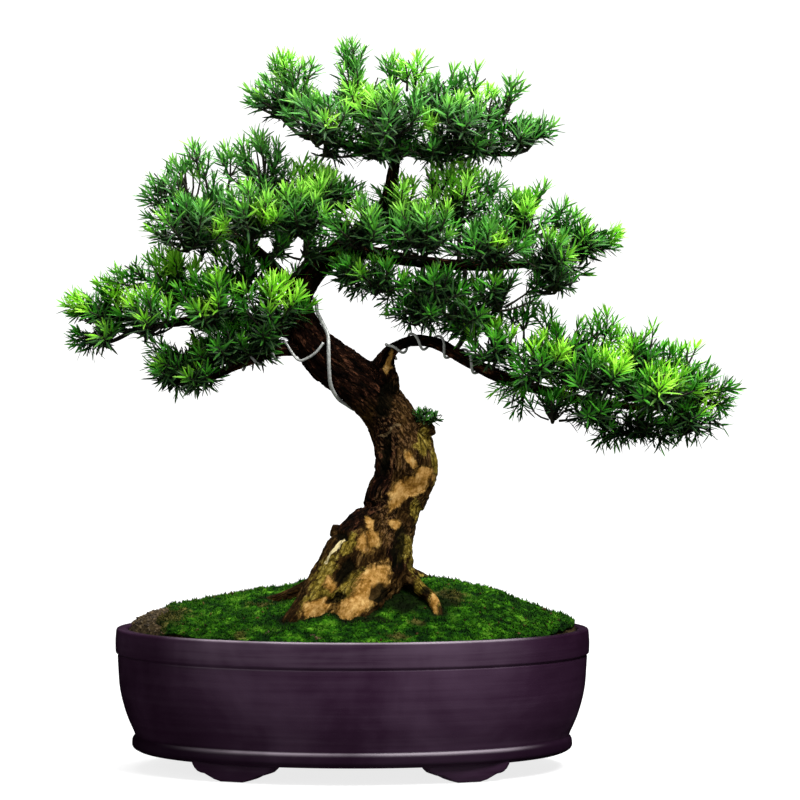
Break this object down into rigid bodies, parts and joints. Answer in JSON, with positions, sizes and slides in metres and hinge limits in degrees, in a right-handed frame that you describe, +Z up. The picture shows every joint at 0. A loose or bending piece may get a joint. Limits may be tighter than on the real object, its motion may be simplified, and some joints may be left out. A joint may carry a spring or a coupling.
{
  "type": "buddhist pine bonsai",
  "caption": "Bonsai podocarpus: a curved trunk with flaring roots, layered pads of narrow leaves, moss over soil, and an oval clay pot on cloud-shaped feet.",
  "frame": {"origin": "on the ground, under the middle of the whole plant's bounding box", "axes": "+Z up the tree, +Y from the front to the back of the pot, +X to the right, along the long axis of the oval pot"},
  "size_m": [0.7038, 0.36, 0.7742],
  "materials": {
    "clay": "satin unglazed purple-brown clay",
    "screen": "matte plastic mesh",
    "soil": "moist granular soil",
    "moss": "soft velvety moss",
    "bark": "flaking bark",
    "leaf": "leathery satin leaves",
    "wire": "dull anodised wire"
  },
  "bodies": {
    "root": {"pot": "clay", "drain_screen_left": "screen", "drain_screen_right": "screen", "soil": "soil", "moss": "moss", "tree": "bark", "wire_trunk": "wire", "wire_left": "wire", "wire_right": "wire", "spray_top_01": "leaf", "spray_top_02": "leaf", "spray_top_03": "leaf", "spray_top_04": "leaf", "spray_top_05": "leaf", "spray_top_06": "leaf", "spray_top_07": "leaf", "spray_top_08": "leaf", "spray_top_09": "leaf", "spray_upper_01": "leaf", "spray_upper_02": "leaf", "spray_upper_03": "leaf", "spray_upper_04": "leaf", "spray_upper_05": "leaf", "spray_upper_06": "leaf", "spray_upper_07": "leaf", "spray_left_01": "leaf", "spray_left_02": "leaf", "spray_left_03": "leaf", "spray_left_04": "leaf", "spray_left_05": "leaf", "spray_left_06": "leaf", "spray_left_07": "leaf", "spray_left_08": "leaf", "spray_left_09": "leaf", "spray_middle_01": "leaf", "spray_middle_02": "leaf", "spray_middle_03": "leaf", "spray_middle_04": "leaf", "spray_middle_05": "leaf", "spray_middle_06": "leaf", "spray_middle_07": "leaf", "spray_middle_08": "leaf", "spray_middle_09": "leaf", "spray_middle_10": "leaf", "spray_middle_11": "leaf", "spray_middle_12": "leaf", "spray_middle_13": "leaf", "spray_middle_14": "leaf", "spray_right_01": "leaf", "spray_right_02": "leaf", "spray_right_03": "leaf", "spray_right_04": "leaf", "spray_right_05": "leaf", "spray_right_06": "leaf", "spray_right_07": "leaf", "spray_right_08": "leaf", "spray_right_09": "leaf", "spray_right_10": "leaf", "spray_right_11": "leaf", "spray_stub": "leaf"}
  },
  "joints": []
}
